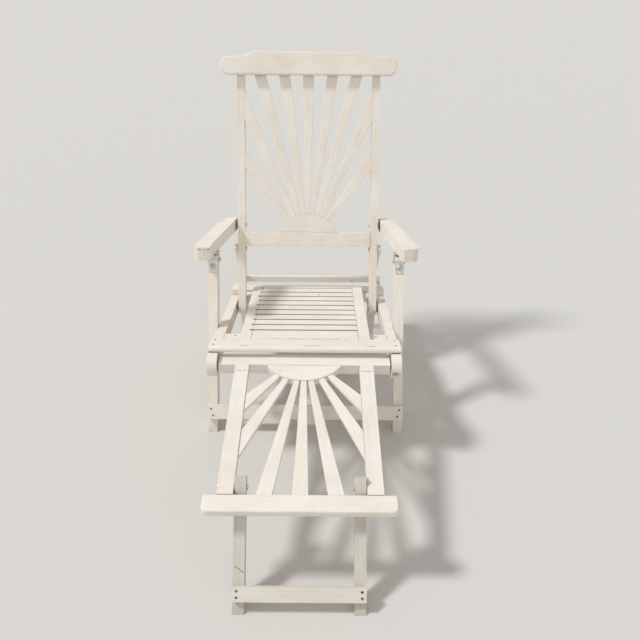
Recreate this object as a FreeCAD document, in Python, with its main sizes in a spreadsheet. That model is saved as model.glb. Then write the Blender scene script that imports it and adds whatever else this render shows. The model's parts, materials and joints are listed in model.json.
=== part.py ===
import FreeCAD, Part
import math
import os

Vector = FreeCAD.Vector
Rotation = FreeCAD.Rotation
Placement = FreeCAD.Placement

doc = FreeCAD.newDocument("SteamerChair")

# Driving dimensions, in millimetres and degrees.
# Heights are above the ground, setbacks are behind the toes of the front legs.
SIZES = {
    # side rails and seat
    "frame_width": 580.0,
    "rail_thick": 26.5,
    "rail_depth": 45.0,
    "rail_slope": 9.3,
    "rail_tail": 775.0,
    "rail_nose_radius": 33.0,
    "footrest_pivot_setback": -81.6,
    "footrest_pivot_height": 286.4,
    "washer_gap": 1.6,
    "open_gap": 1.0,
    "nosing_width": 67.0,
    "nosing_thick": 18.0,
    "nosing_overhang": 1.0,
    "seat_thick": 22.0,
    "seat_side_gap": 52.4,
    "seat_length": 490.0,
    "seat_slope": 7.0,
    "seat_stile_width": 32.0,
    "seat_front_width": 66.0,
    "seat_back_width": 30.0,
    "seat_slat_thick": 12.0,
    "seat_slat_gap": 5.0,
    "bearer_width": 44.0,
    "front_bearer_inset": 47.8,
    "rear_bearer_inset": 11.4,
    "batten_width": 56.0,
    "batten_thick": 20.0,
    "batten_gap": 4.4,
    # back
    "bearer_gap": 0.7,
    "back_lean": 19.55,
    "upright_gap": 6.7,
    "upright_width": 24.0,
    "upright_depth": 34.0,
    "upright_short": 14.0,
    "crest_low": 748.0,
    "crest_high": 818.0,
    "crest_overhang": 51.8,
    "crest_thick": 22.0,
    "crest_end_in": 24.0,
    "crest_end_up": 29.0,
    "crest_shoulder_drop": 15.0,
    "crest_step": 13.0,
    "crest_step_start": 76.0,
    "crest_step_end": 112.0,
    "crest_lap": 34.0,
    "lower_rail_low": 210.0,
    "lower_rail_high": 255.0,
    "lower_rail_thick": 20.0,
    "sun_half_width": 97.0,
    "sun_rise": 60.0,
    "sun_proud": 3.0,
    "slat_thick": 10.0,
    "slat_narrow": 14.0,
    "slat_wide": 37.0,
    # armrests and front legs
    "leg_thick": 27.0,
    "leg_depth": 42.0,
    "leg_lean": 24.3,
    "leg_pivot_up": 295.5,
    "arm_pivot_up": 517.5,
    "arm_thick": 38.0,
    "arm_slope": 5.7,
    "arm_drop": 25.0,
    "arm_front_setback": 138.0,
    "arm_past_pivot": 18.0,
    "arm_rear_gap": 4.5,
    "arm_front_inset": 18.0,
    "arm_overhang": 32.0,
    "arm_turn_setback": 186.0,
    "arm_ear_before_pivot": 53.0,
    "arm_ear_run": 14.0,
    "arm_ear_step": 9.0,
    "arm_ear_width": 55.0,
    "arm_rear_width": 33.0,
    "arm_nose_in": 16.0,
    "arm_nose_run": 30.0,
    "arm_inner_round": 12.0,
    "stretcher_low": 43.0,
    "stretcher_high": 84.5,
    "stretcher_thick": 18.0,
    # rear legs
    "rear_pivot_run": 79.5,
    "rear_foot_run": 90.0,
    "rear_leg_thick": 26.0,
    "rear_leg_depth": 40.0,
    # back prop
    "prop_hinge_up": 200.0,
    "prop_hinge_back": 2.0,
    "prop_end_past": 3.0,
    "prop_bar_setback": 662.0,
    "prop_thick": 10.0,
    "prop_depth": 30.0,
    "prop_bar_width": 24.0,
    "prop_bar_thick": 20.0,
    # footrest
    "footrest_slope": 9.46,
    "beam_front": 19.0,
    "beam_back": 25.0,
    "beam_thick": 32.0,
    "beam_gap": 2.9,
    "foot_stile_length": 437.0,
    "foot_stile_inset": 46.5,
    "foot_stile_width": 37.0,
    "foot_stile_thick": 22.0,
    "foot_rail_width": 47.0,
    "foot_rail_thick": 19.0,
    "foot_rail_overhang": 29.5,
    "foot_rail_round": 14.0,
    "foot_sun_half_width": 100.0,
    "foot_sun_rise": 60.0,
    "foot_sun_thick": 20.0,
    "foot_slat_drop": 3.0,
    "foot_slat_thick": 10.0,
    "foot_slat_leg_gap": 40.5,
    "foot_slat_leg_run": 127.0,
    "foot_slat_narrow": 15.0,
    "foot_slat_wide": 36.0,
    # footrest legs
    "foot_leg_pivot_in": 29.0,
    "foot_leg_lean": 33.0,
    "foot_leg_thick": 26.0,
    "foot_leg_depth": 30.0,
    "foot_leg_top": 24.0,
    "foot_leg_round": 12.0,
    "foot_stretcher_low": 31.0,
    "foot_stretcher_high": 63.0,
    "foot_stretcher_thick": 15.0,
    # metalwork
    "bolt_radius": 4.0,
    "bolt_clearance": 0.05,
    "bolt_head_radius": 8.5,
    "bolt_head_thick": 4.0,
    "nut_radius": 6.8,
    "pin_length": 40.0,
    "screw_radius": 3.2,
    "screw_length": 16.0,
    "screw_head_thick": 1.7,
    "screw_proud": 0.2,
    "screw_inset": 11.0,
    "screw_stagger": 3.0,
    "foot_screw_inset": 9.0,
    "nosing_screw_inset": 10.0,
    "nosing_screw_pitch": 38.0,
    "plate_thick": 2.5,
    "bracket_long": 34.0,
    "bracket_gap": 0.4,
    "arm_bolt_out": 36.0,
    "arm_bolt_sink": 12.0,
    "strap_inset": 1.5,
    "strap_high_drop": 2.0,
    "strap_low_drop": 38.0,
    "strap_bolt_drop": 22.0,
    "strap_bolt_length": 14.0,
    "edge_gap": 0.3,
}
SLAT_ANGLES = (0.0, 8.0, 15.8, 24.6, 36.0)
SEAT_SLATS = 9

sheet = doc.addObject("Spreadsheet::Sheet", "Sizes")
for row, (name, value) in enumerate(SIZES.items(), start=1):
    sheet.set("A%d" % row, name)
    sheet.set("B%d" % row, str(value))
    sheet.setAlias("B%d" % row, name)
doc.recompute()


def size(name):
    """One driving dimension, read from the sheet."""
    return float(getattr(sheet, name))


def frame(setback, height, lean):
    """A frame turned about the width axis, with its own Z leaning back by lean degrees."""
    return Placement(Vector(0, setback, height), Rotation(Vector(1, 0, 0), -lean))


def at(base, x=0.0, y=0.0, z=0.0):
    """The base frame moved along its own axes."""
    return base.multiply(Placement(Vector(x, y, z), Rotation()))


def closed(points):
    """Straight edges round a closed outline."""
    ends = points[1:] + points[:1]
    return [Part.LineSegment(Vector(*a, 0), Vector(*b, 0)) for a, b in zip(points, ends)]


def line(a, b):
    return Part.LineSegment(Vector(*a, 0), Vector(*b, 0))


def arc(a, middle, b):
    return Part.Arc(Vector(*a, 0), Vector(*middle, 0), Vector(*b, 0))


def hole(centre, radius):
    return Part.Circle(Vector(*centre, 0), Vector(0, 0, 1), radius)


def rounded(start, corner, end):
    """A quarter round in place of a corner, between a point on each of its edges."""
    share = 1 - math.sqrt(0.5)
    middle = [c + share * (a - c) + share * (b - c) for a, c, b in zip(start, corner, end)]
    return arc(start, middle, end)


PLANES = {"top": "XY_Plane", "front": "XZ_Plane", "side": "YZ_Plane"}
pieces = []


def board(label, face, outline, thickness, place):
    """A board sawn to an outline drawn on its top, front or side face, padded to a named thickness."""
    body = doc.addObject("PartDesign::Body", label)
    body.Label = label
    plane = [item for item in body.Origin.OriginFeatures if item.Role == PLANES[face]][0]
    sketch = body.newObject("Sketcher::SketchObject", label + "_outline")
    sketch.AttachmentSupport = (plane, [""])
    sketch.MapMode = "FlatFace"
    for edge in outline:
        sketch.addGeometry(edge, False)
    pad = body.newObject("PartDesign::Pad", label + "_pad")
    pad.Profile = sketch
    pad.setExpression("Length", "Sizes." + thickness)
    body.Placement = place
    pieces.append(body)
    return body


def bar(label, length, width, thickness, place):
    """A straight bar centred across the chair; each size is a sheet name or an expression of them."""
    box = doc.addObject("Part::Box", label)
    box.Label = label
    for side, rule in (("Length", length), ("Width", width), ("Height", thickness)):
        box.setExpression(side, rule)
    doc.recompute()
    box.Placement = at(place, -box.Length.Value / 2, 0, 0)
    pieces.append(box)
    return box


def rod(place, radius, length):
    """A cylinder solid that runs along its own frame's Z."""
    solid = Part.makeCylinder(radius, length)
    solid.Placement = place
    return solid


def fittings(label, solids):
    """Like metal pieces kept together as separate solids."""
    group = doc.addObject("Part::Feature", label)
    group.Label = label
    group.Shape = Part.makeCompound(solids)
    pieces.append(group)
    return group


ALONG_X = Rotation(Vector(0, 1, 0), 90)
ALONG_MINUS_X = Rotation(Vector(0, 1, 0), -90)
FORWARD = Rotation(Vector(1, 0, 0), 90)


def bolt(centre, inner, outer, side):
    """A cross bolt with a round head outside and a nut inside, from |x| inner to outer on one side."""
    turn = ALONG_X if side > 0 else ALONG_MINUS_X
    start = Placement(Vector(side * inner, centre.y, centre.z), turn)
    shank = rod(start, size("bolt_radius"), outer - inner)
    head_place = Placement(Vector(side * outer, centre.y, centre.z), turn)
    head = rod(head_place, size("bolt_head_radius"), size("bolt_head_thick"))
    nut_place = Placement(Vector(side * (inner - size("bolt_head_thick")), centre.y, centre.z), turn)
    nut = rod(nut_place, size("nut_radius"), size("bolt_head_thick"))
    return shank.fuse(head).fuse(nut)


def washer(centre, inner, outer, side):
    """A flat ring that fills the gap between two boards round a bolt."""
    turn = ALONG_X if side > 0 else ALONG_MINUS_X
    start = Placement(Vector(side * inner, centre.y, centre.z), turn)
    ring = rod(start, size("bolt_head_radius"), outer - inner)
    return ring.cut(rod(start, size("bolt_radius"), outer - inner))


def screw(place):
    """A sunk screw whose head stands a hair proud of the face that the place's Z leaves."""
    shank = rod(at(place, 0, 0, -size("screw_length")), size("screw_radius") / 2, size("screw_length"))
    head_low = size("screw_proud") - size("screw_head_thick")
    head = rod(at(place, 0, 0, head_low), size("screw_radius"), size("screw_head_thick"))
    return shank.fuse(head)


bore = size("bolt_radius") + size("bolt_clearance")


def cross_hole(centre):
    """The hole for a bolt, right across the chair."""
    start = Placement(Vector(-size("frame_width"), centre.y, centre.z), ALONG_X)
    return rod(start, bore, 2 * size("frame_width"))


half_width = size("frame_width") / 2
rail_outer = half_width - size("leg_thick") - size("washer_gap")
rail_inner = rail_outer - size("rail_thick")

# Seat frame. The rail frame's Y runs back along the rail and its Z is square to the rail's top edge.
slope = math.radians(size("rail_slope"))
rail_frame = frame(size("footrest_pivot_setback"), size("footrest_pivot_height"), size("rail_slope"))
rail_top = size("rail_nose_radius")
rail_middle = rail_top - size("rail_depth") / 2


def world(base, y, z):
    return base.multVec(Vector(0, y, z))


leg_frame = frame(0, 0, size("leg_lean"))
leg_middle = size("leg_depth") / 2
leg_pivot = world(leg_frame, leg_middle, size("leg_pivot_up"))
arm_pivot = world(leg_frame, leg_middle, size("arm_pivot_up"))
footrest_pivot = world(rail_frame, 0, 0)
rail_inverse = rail_frame.inverse()

# The seat panel's top is flush with the nosing, and it falls a little less than the rails do.
nosing_thick = size("nosing_thick")
nosing_front = -size("nosing_overhang")
nosing_back = nosing_front + size("nosing_width")
panel_start = world(rail_frame, nosing_back + size("open_gap"), rail_top + nosing_thick)
seat_frame_place = frame(panel_start.y, panel_start.z, size("seat_slope"))
seat_length = size("seat_length")
seat_thick = size("seat_thick")
rear_start = seat_length - size("rear_bearer_inset") - size("bearer_width")

# The uprights stand close in front of the rear bearer, on pivots in the rails' centre lines.
back_lean = math.radians(size("back_lean"))
upright_back = size("upright_depth") / 2
behind = Vector(0, math.cos(back_lean), -math.sin(back_lean))
along_rail = rail_frame.Rotation.multVec(Vector(0, 1, 0))
bearer_corner = world(seat_frame_place, rear_start, -seat_thick)
room = bearer_corner.sub(world(rail_frame, 0, rail_middle)).dot(behind)
back_along = (room - upright_back - size("bearer_gap")) / along_rail.dot(behind)
back_pivot = world(rail_frame, back_along, rail_middle)
rear_pivot = world(rail_frame, back_along + size("rear_pivot_run"), rail_middle)
back_frame = frame(back_pivot.y, back_pivot.z, size("back_lean"))

nose = size("rail_nose_radius")
rail_low = rail_top - size("rail_depth")
nose_run = math.sqrt(nose ** 2 - rail_low ** 2)
rail_holes = []
for pivot in (footrest_pivot, leg_pivot, back_pivot, rear_pivot):
    spot = rail_inverse.multVec(pivot)
    rail_holes.append(hole((spot.y, spot.z), bore))
tail = size("rail_tail")
rail_outline = [
    line((0, rail_top), (tail, rail_top)),
    line((tail, rail_top), (tail, rail_low)),
    line((tail, rail_low), (nose_run, rail_low)),
    arc((nose_run, rail_low), (-nose, 0), (0, rail_top)),
]
board("left_side_rail", "side", rail_outline + rail_holes, "rail_thick", at(rail_frame, -rail_outer))
board("right_side_rail", "side", rail_outline + rail_holes, "rail_thick", at(rail_frame, rail_inner))

# The nosing board lies over both rails, with a rounded front edge.
nosing_outline = [
    line((nosing_front + nosing_thick / 2, 0), (nosing_back, 0)),
    line((nosing_back, 0), (nosing_back, nosing_thick)),
    line((nosing_back, nosing_thick), (nosing_front + nosing_thick / 2, nosing_thick)),
    arc(
        (nosing_front + nosing_thick / 2, nosing_thick),
        (nosing_front, nosing_thick / 2),
        (nosing_front + nosing_thick / 2, 0),
    ),
]
nosing_place = at(rail_frame, -rail_outer, 0, rail_top)
nosing = board("front_seat_rail", "side", nosing_outline, "nosing_thick", nosing_place)
over_rails = "Sizes.frame_width - 2 * (Sizes.leg_thick + Sizes.washer_gap)"
nosing.Group[1].setExpression("Length", over_rails)

# Seat panel: a frame of four boards with slats across it.
stile_width = size("seat_stile_width")
seat_half = rail_inner - size("seat_side_gap")
slat_inset = seat_half - stile_width
for label, left in (("seat_left_stile", -seat_half), ("seat_right_stile", slat_inset)):
    outline = closed([(0, 0), (stile_width, 0), (stile_width, seat_length), (0, seat_length)])
    board(label, "top", outline, "seat_thick", at(seat_frame_place, left, 0, -seat_thick))
between_rails = "Sizes.frame_width - 2 * (Sizes.leg_thick + Sizes.washer_gap + Sizes.rail_thick)"
inner_width = between_rails + " - 2 * (Sizes.seat_side_gap + Sizes.seat_stile_width)"
front_place = at(seat_frame_place, 0, 0, -seat_thick)
bar("seat_front_rail", inner_width, "Sizes.seat_front_width", "Sizes.seat_thick", front_place)
back_place = at(seat_frame_place, 0, seat_length - size("seat_back_width"), -seat_thick)
bar("seat_back_rail", inner_width, "Sizes.seat_back_width", "Sizes.seat_thick", back_place)
slat_run = seat_length - size("seat_front_width") - size("seat_back_width")
slat_pitch = (slat_run - size("seat_slat_gap")) / SEAT_SLATS
slat_width = slat_pitch - size("seat_slat_gap")
seat_slats = []
for number in range(SEAT_SLATS):
    start = size("seat_front_width") + size("seat_slat_gap") + number * slat_pitch
    slat = Part.makeBox(2 * slat_inset, slat_width, size("seat_slat_thick"))
    slat.Placement = at(seat_frame_place, -slat_inset, start, -size("seat_slat_thick"))
    seat_slats.append(slat)
fittings("seat_slats", seat_slats)

# Two bearers cross between the rails and carry the seat panel.
for label, start in (("front_bearer", size("front_bearer_inset")), ("rear_bearer", rear_start)):
    place = at(seat_frame_place, 0, start, -seat_thick - nosing_thick)
    bar(label, between_rails, "Sizes.bearer_width", "Sizes.nosing_thick", place)

# The batten lies over both rails, close behind the seat panel.
panel_end = rail_inverse.multVec(world(seat_frame_place, seat_length, 0)).y
batten_place = at(rail_frame, 0, panel_end + size("batten_gap"), rail_top)
bar("rear_batten", over_rails, "Sizes.batten_width", "Sizes.batten_thick", batten_place)

# Back. Its frame stands on the back pivot, Z runs up the uprights and Y points behind them.
upright_front = -upright_back
upright_outer = rail_inner - size("upright_gap")
upright_inner = upright_outer - size("upright_width")
crest_low = size("crest_low")
crest_high = size("crest_high")
hinge_spot = (size("prop_hinge_back"), size("prop_hinge_up"))
prop_hinge = world(back_frame, *hinge_spot)
upright_top = crest_high - size("upright_short")
upright_outline = [
    line((upright_front, 0), (upright_front, upright_top)),
    line((upright_front, upright_top), (upright_back, upright_top)),
    line((upright_back, upright_top), (upright_back, 0)),
    arc((upright_back, 0), (0, upright_front), (upright_front, 0)),
    hole((0, 0), bore),
    hole(hinge_spot, bore),
]
board("left_back_upright", "side", upright_outline, "upright_width", at(back_frame, -upright_outer))
board("right_back_upright", "side", upright_outline, "upright_width", at(back_frame, upright_inner))

crest_half = upright_outer + size("crest_overhang")
crest_bottom = crest_half - size("crest_end_in")
crest_outline = [line((-crest_bottom, crest_low), (crest_bottom, crest_low))]
for side in (1, -1):
    end_low = (side * crest_bottom, crest_low)
    end_out = (side * crest_half, crest_low + size("crest_end_up"))
    shoulder = (side * crest_bottom, crest_high - size("crest_shoulder_drop"))
    step_low = (side * (crest_half - size("crest_step_start")), crest_high - size("crest_step"))
    step_high = (side * (crest_half - size("crest_step_end")), crest_high)
    step_middle = ((step_low[0] + step_high[0]) / 2, crest_high - size("crest_step") / 3)
    crest_outline.append(arc(end_low, end_out, shoulder))
    crest_outline.append(line(shoulder, step_low))
    crest_outline.append(arc(step_low, step_middle, step_high))
crest_flat = crest_half - size("crest_step_end")
crest_outline.append(line((-crest_flat, crest_high), (crest_flat, crest_high)))
board("crest_rail", "front", crest_outline, "crest_thick", at(back_frame, 0, upright_front))

sun_front = upright_front - size("sun_proud")
lower_low = size("lower_rail_low")
lower_high = size("lower_rail_high")
lower_outline = closed(
    [
        (-upright_inner, lower_low),
        (upright_inner, lower_low),
        (upright_inner, lower_high),
        (-upright_inner, lower_high),
    ]
)
lower_place = at(back_frame, 0, sun_front + size("lower_rail_thick"))
board("back_lower_rail", "front", lower_outline, "lower_rail_thick", lower_place)


def segment(half_chord, rise, base, direction):
    """A half sun: a chord with an arc that rises from it."""
    return [
        line((-half_chord, base), (half_chord, base)),
        arc((half_chord, base), (0, base + direction * rise), (-half_chord, base)),
    ]


sun_half = size("sun_half_width")
sun_rise = size("sun_rise")
board("back_sun_hub", "front", segment(sun_half, sun_rise, lower_high, 1), "lower_rail_thick", lower_place)


def ray(angle, narrow, wide, radius, centre, side_wall, end_wall):
    """A slat's outline: it starts on the hub's arc, widens outwards and ends on a wall.

    A line from the hub's centre at the angle from straight out is its middle. Its end is cut
    along the side wall (a width) or the end wall (a distance out), whichever it meets first.
    """
    turn = math.radians(angle)
    reach_end = (end_wall - centre) / math.cos(turn)
    reach_side = side_wall / math.sin(turn) if turn else reach_end + 1
    at_side = reach_side < reach_end
    reach = min(reach_end, reach_side)
    outline = []
    corners = []
    for edge in (-1, 1):
        half = edge * narrow / 2
        run = math.sqrt(radius ** 2 - half ** 2)
        start = Vector(half, run)
        far = Vector(edge * wide / 2, reach)
        out = far.sub(start)
        turned = []
        for point in (start, out):
            turned.append(
                (
                    point.x * math.cos(turn) + point.y * math.sin(turn),
                    point.y * math.cos(turn) - point.x * math.sin(turn),
                )
            )
        (sx, sy), (ox, oy) = turned
        share = (side_wall - sx) / ox if at_side else (end_wall - centre - sy) / oy
        corners.append(((sx, sy + centre), (sx + ox * share, sy + oy * share + centre)))
    (near_a, far_a), (near_b, far_b) = corners
    outline.append(line(near_a, far_a))
    outline.append(line(far_a, far_b))
    outline.append(line(far_b, near_b))
    hub_middle = (radius * math.sin(turn), radius * math.cos(turn) + centre)
    outline.append(arc(near_b, hub_middle, near_a))
    return outline


def mirrored(outline, flip_x, flip_y):
    """The same outline with its width or its length turned over."""
    matrix = FreeCAD.Matrix()
    matrix.A11 = -1.0 if flip_x else 1.0
    matrix.A22 = -1.0 if flip_y else 1.0
    turned = []
    for edge in outline:
        ends = [matrix.multVec(edge.StartPoint), matrix.multVec(edge.EndPoint)]
        if isinstance(edge, Part.LineSegment):
            turned.append(Part.LineSegment(*ends))
        else:
            middle = edge.value((edge.FirstParameter + edge.LastParameter) / 2)
            turned.append(Part.Arc(ends[0], matrix.multVec(middle), ends[1]))
    return turned


sun_radius = (sun_half ** 2 + sun_rise ** 2) / (2 * sun_rise)
sun_centre = lower_high + sun_rise - sun_radius
slat_top = crest_low + size("crest_lap")
slat_place = at(back_frame, 0, upright_front + size("slat_thick"))
slat_ends = (size("slat_narrow"), size("slat_wide"))
order = [(angle, True) for angle in reversed(SLAT_ANGLES[1:])] + [(angle, False) for angle in SLAT_ANGLES]
for number, (angle, left) in enumerate(order, start=1):
    outline = ray(angle, *slat_ends, sun_radius, sun_centre, upright_inner, slat_top)
    if left:
        outline = mirrored(outline, True, False)
    board("back_slat_%d" % number, "front", outline, "slat_thick", slat_place)

# Armrests. The frame's origin is on the arm's underside over the leg pivot.
arm_slope = math.radians(size("arm_slope"))
arm_frame = at(frame(arm_pivot.y, arm_pivot.z, size("arm_slope")), 0, 0, size("arm_drop"))
arm_thick = size("arm_thick")


def on_arm(setback):
    """Distance along the arm of a setback from the front toes."""
    return (setback - arm_pivot.y) / math.cos(arm_slope)


# The armrest's rear bolt is where the upright's centre line crosses the middle of its thickness.
arm_inverse = arm_frame.inverse()
low = arm_inverse.multVec(back_pivot)
high = arm_inverse.multVec(world(back_frame, 0, crest_low))
share = (arm_thick / 2 - low.z) / (high.z - low.z)
arm_back_along = low.y + share * (high.y - low.y)
arm_front = on_arm(size("arm_front_setback"))
arm_rear = arm_back_along + size("arm_past_pivot")
arm_inner_rear = upright_outer + size("arm_rear_gap")
arm_inner_front = half_width - size("arm_front_inset")
arm_outer_front = half_width + size("arm_overhang")
arm_turn = on_arm(size("arm_turn_setback"))
arm_ear = arm_back_along - size("arm_ear_before_pivot")
ear_half = size("arm_ear_run") / 2
ear_width = size("arm_ear_width")
nose_out = arm_outer_front - size("arm_nose_in")
inner_round = size("arm_inner_round")
rear_inner = (arm_inner_rear, arm_rear)
rear_outer = (arm_inner_rear + size("arm_rear_width"), arm_rear)
ear_back = (arm_inner_rear + ear_width - size("arm_ear_step"), arm_ear + ear_half)
ear_front = (arm_inner_rear + ear_width, arm_ear - ear_half)
side_front = (arm_outer_front, arm_front + size("arm_nose_run"))
nose_start = (nose_out, arm_front)
nose_end = (arm_inner_front + inner_round, arm_front)
inner_start = (arm_inner_front, arm_front + inner_round)
inner_turn = (arm_inner_front, arm_turn)
arm_outline = [
    line(rear_inner, rear_outer),
    line(rear_outer, ear_back),
    line(ear_back, ear_front),
    line(ear_front, side_front),
    rounded(side_front, (arm_outer_front, arm_front), nose_start),
    line(nose_start, nose_end),
    rounded(nose_end, (arm_inner_front, arm_front), inner_start),
    line(inner_start, inner_turn),
    line(inner_turn, rear_inner),
]
board("left_armrest", "top", mirrored(arm_outline, True, False), "arm_thick", arm_frame)
board("right_armrest", "top", arm_outline, "arm_thick", arm_frame)

# Front legs. Z runs up the leg from the toe, and Y points behind it. The foot is cut to the ground.
leg_depth = size("leg_depth")
leg_top = size("arm_pivot_up")
leg_rise = leg_depth * math.tan(math.radians(size("leg_lean")))
leg_outline = [
    line((0, 0), (0, leg_top)),
    arc((0, leg_top), (leg_middle, leg_top + leg_middle), (leg_depth, leg_top)),
    line((leg_depth, leg_top), (leg_depth, leg_rise)),
    line((leg_depth, leg_rise), (0, 0)),
    hole((leg_middle, leg_top), bore),
    hole((leg_middle, size("leg_pivot_up")), bore),
]
leg_inner = half_width - size("leg_thick")
board("left_front_leg", "side", leg_outline, "leg_thick", at(leg_frame, -half_width))
board("right_front_leg", "side", leg_outline, "leg_thick", at(leg_frame, leg_inner))
stretcher_outline = closed(
    [
        (-half_width, size("stretcher_low")),
        (half_width, size("stretcher_low")),
        (half_width, size("stretcher_high")),
        (-half_width, size("stretcher_high")),
    ]
)
board("front_stretcher", "front", stretcher_outline, "stretcher_thick", leg_frame)

# Rear legs, inside the rails. They lean the other way and fold forwards.
rear_lean = -math.degrees(math.atan2(size("rear_foot_run"), rear_pivot.z))
rear_frame = frame(rear_pivot.y, rear_pivot.z, rear_lean)
rear_half = size("rear_leg_depth") / 2
rear_length = math.hypot(size("rear_foot_run"), rear_pivot.z)
rear_cut = rear_half * math.tan(math.radians(rear_lean))
rear_outline = [
    line((-rear_half, -rear_length - rear_cut), (-rear_half, 0)),
    arc((-rear_half, 0), (0, rear_half), (rear_half, 0)),
    line((rear_half, 0), (rear_half, -rear_length + rear_cut)),
    line((rear_half, -rear_length + rear_cut), (-rear_half, -rear_length - rear_cut)),
    hole((0, 0), bore),
]
rear_leg_outer = rail_inner - size("washer_gap")
rear_leg_inner = rear_leg_outer - size("rear_leg_thick")
board("left_rear_leg", "side", rear_outline, "rear_leg_thick", at(rear_frame, -rear_leg_outer))
board("right_rear_leg", "side", rear_outline, "rear_leg_thick", at(rear_frame, rear_leg_inner))
rear_stretcher = closed(
    [
        (-rear_leg_outer, -rear_length + size("stretcher_low")),
        (rear_leg_outer, -rear_length + size("stretcher_low")),
        (rear_leg_outer, -rear_length + size("stretcher_high")),
        (-rear_leg_outer, -rear_length + size("stretcher_high")),
    ]
)
rear_stretcher_place = at(rear_frame, 0, rear_half + size("stretcher_thick"))
board("rear_stretcher", "front", rear_stretcher, "stretcher_thick", rear_stretcher_place)

# Back prop: two arms hinged outside the uprights, and a bar that rests on the rails.
bar_level = size("prop_bar_setback") - size("footrest_pivot_setback")
bar_along = (bar_level - rail_top * math.sin(slope)) / math.cos(slope)
bar_low = rail_top + size("edge_gap")
bar_centre = world(rail_frame, bar_along, bar_low + size("prop_bar_thick") / 2)
prop_reach = math.hypot(bar_centre.y - prop_hinge.y, prop_hinge.z - bar_centre.z)
prop_lean = -math.degrees(math.atan2(bar_centre.y - prop_hinge.y, prop_hinge.z - bar_centre.z))
prop_frame = frame(prop_hinge.y, prop_hinge.z, prop_lean)
prop_half = size("prop_depth") / 2
prop_end = -prop_reach + size("prop_bar_width") / 2 + size("prop_end_past")
prop_outline = [
    line((-prop_half, prop_end), (-prop_half, 0)),
    arc((-prop_half, 0), (0, prop_half), (prop_half, 0)),
    line((prop_half, 0), (prop_half, prop_end)),
    line((prop_half, prop_end), (-prop_half, prop_end)),
    hole((0, 0), bore),
]
prop_inner = upright_outer + size("washer_gap")
prop_outer = prop_inner + size("prop_thick")
board("left_prop_arm", "side", prop_outline, "prop_thick", at(prop_frame, -prop_outer))
board("right_prop_arm", "side", prop_outline, "prop_thick", at(prop_frame, prop_inner))
bar_outline = closed(
    [
        (-size("prop_bar_width") / 2, -size("prop_bar_thick") / 2),
        (size("prop_bar_width") / 2, -size("prop_bar_thick") / 2),
        (size("prop_bar_width") / 2, size("prop_bar_thick") / 2),
        (-size("prop_bar_width") / 2, size("prop_bar_thick") / 2),
    ]
)
bar_frame = Placement(bar_centre, rail_frame.Rotation)
prop_bar = board("prop_bar", "side", bar_outline, "prop_thick", at(bar_frame, -rail_outer))
prop_bar.Group[1].setExpression("Length", over_rails)

# Footrest. Its frame is on the beam's pivot, Y runs back up the footrest and Z is square to it.
footrest_frame = frame(footrest_pivot.y, footrest_pivot.z, -size("footrest_slope"))
beam_front = size("beam_front")
beam_back = size("beam_back")
foot_top = size("beam_thick") / 2
beam_outline = closed(
    [
        (-beam_front, -foot_top),
        (beam_back, -foot_top),
        (beam_back, foot_top),
        (-beam_front, foot_top),
    ]
)
beam_half_width = rail_inner - size("beam_gap")
beam_place = at(footrest_frame, -beam_half_width)
beam = board("footrest_beam", "side", beam_outline, "beam_thick", beam_place)
beam.Group[1].setExpression("Length", between_rails + " - 2 * Sizes.beam_gap")
stile_length = size("foot_stile_length")
stile_end = -beam_front - stile_length
stile_half = beam_half_width - size("foot_stile_inset")
foot_inner = stile_half - size("foot_stile_width")
stile_low = foot_top - size("foot_stile_thick")
foot_leg_outer = foot_inner - size("washer_gap")
foot_leg_inner = foot_leg_outer - size("foot_leg_thick")
leg_spot = (stile_end + size("foot_leg_pivot_in"), foot_top - size("foot_stile_thick") / 2)
stile_outline = closed(
    [
        (stile_end, stile_low),
        (-beam_front, stile_low),
        (-beam_front, foot_top),
        (stile_end, foot_top),
    ]
)
stile_outline.append(hole(leg_spot, bore))
for label, left in (("footrest_left_stile", -stile_half), ("footrest_right_stile", foot_inner)):
    board(label, "side", stile_outline, "foot_stile_width", at(footrest_frame, left))
rail_half = stile_half + size("foot_rail_overhang")
rail_far = stile_end - size("foot_rail_width")
rail_round = size("foot_rail_round")
round_start = rail_far + rail_round
round_half = rail_half - rail_round
foot_rail_outline = [
    line((-rail_half, stile_end), (rail_half, stile_end)),
    line((rail_half, stile_end), (rail_half, round_start)),
    rounded((rail_half, round_start), (rail_half, rail_far), (round_half, rail_far)),
    line((round_half, rail_far), (-round_half, rail_far)),
    rounded((-round_half, rail_far), (-rail_half, rail_far), (-rail_half, round_start)),
    line((-rail_half, round_start), (-rail_half, stile_end)),
]
foot_rail_place = at(footrest_frame, 0, 0, foot_top - size("foot_rail_thick"))
board("foot_rail", "top", foot_rail_outline, "foot_rail_thick", foot_rail_place)
foot_sun_half = size("foot_sun_half_width")
foot_sun_rise = size("foot_sun_rise")
hub_place = at(footrest_frame, 0, 0, foot_top - size("foot_sun_thick"))
hub_outline = segment(foot_sun_half, foot_sun_rise, -beam_front, -1)
board("footrest_sun_hub", "top", hub_outline, "foot_sun_thick", hub_place)
foot_sun_radius = (foot_sun_half ** 2 + foot_sun_rise ** 2) / (2 * foot_sun_rise)
foot_sun_centre = beam_front + foot_sun_rise - foot_sun_radius
foot_slat_place = at(footrest_frame, 0, 0, foot_top - size("foot_slat_drop") - size("foot_slat_thick"))

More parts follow.
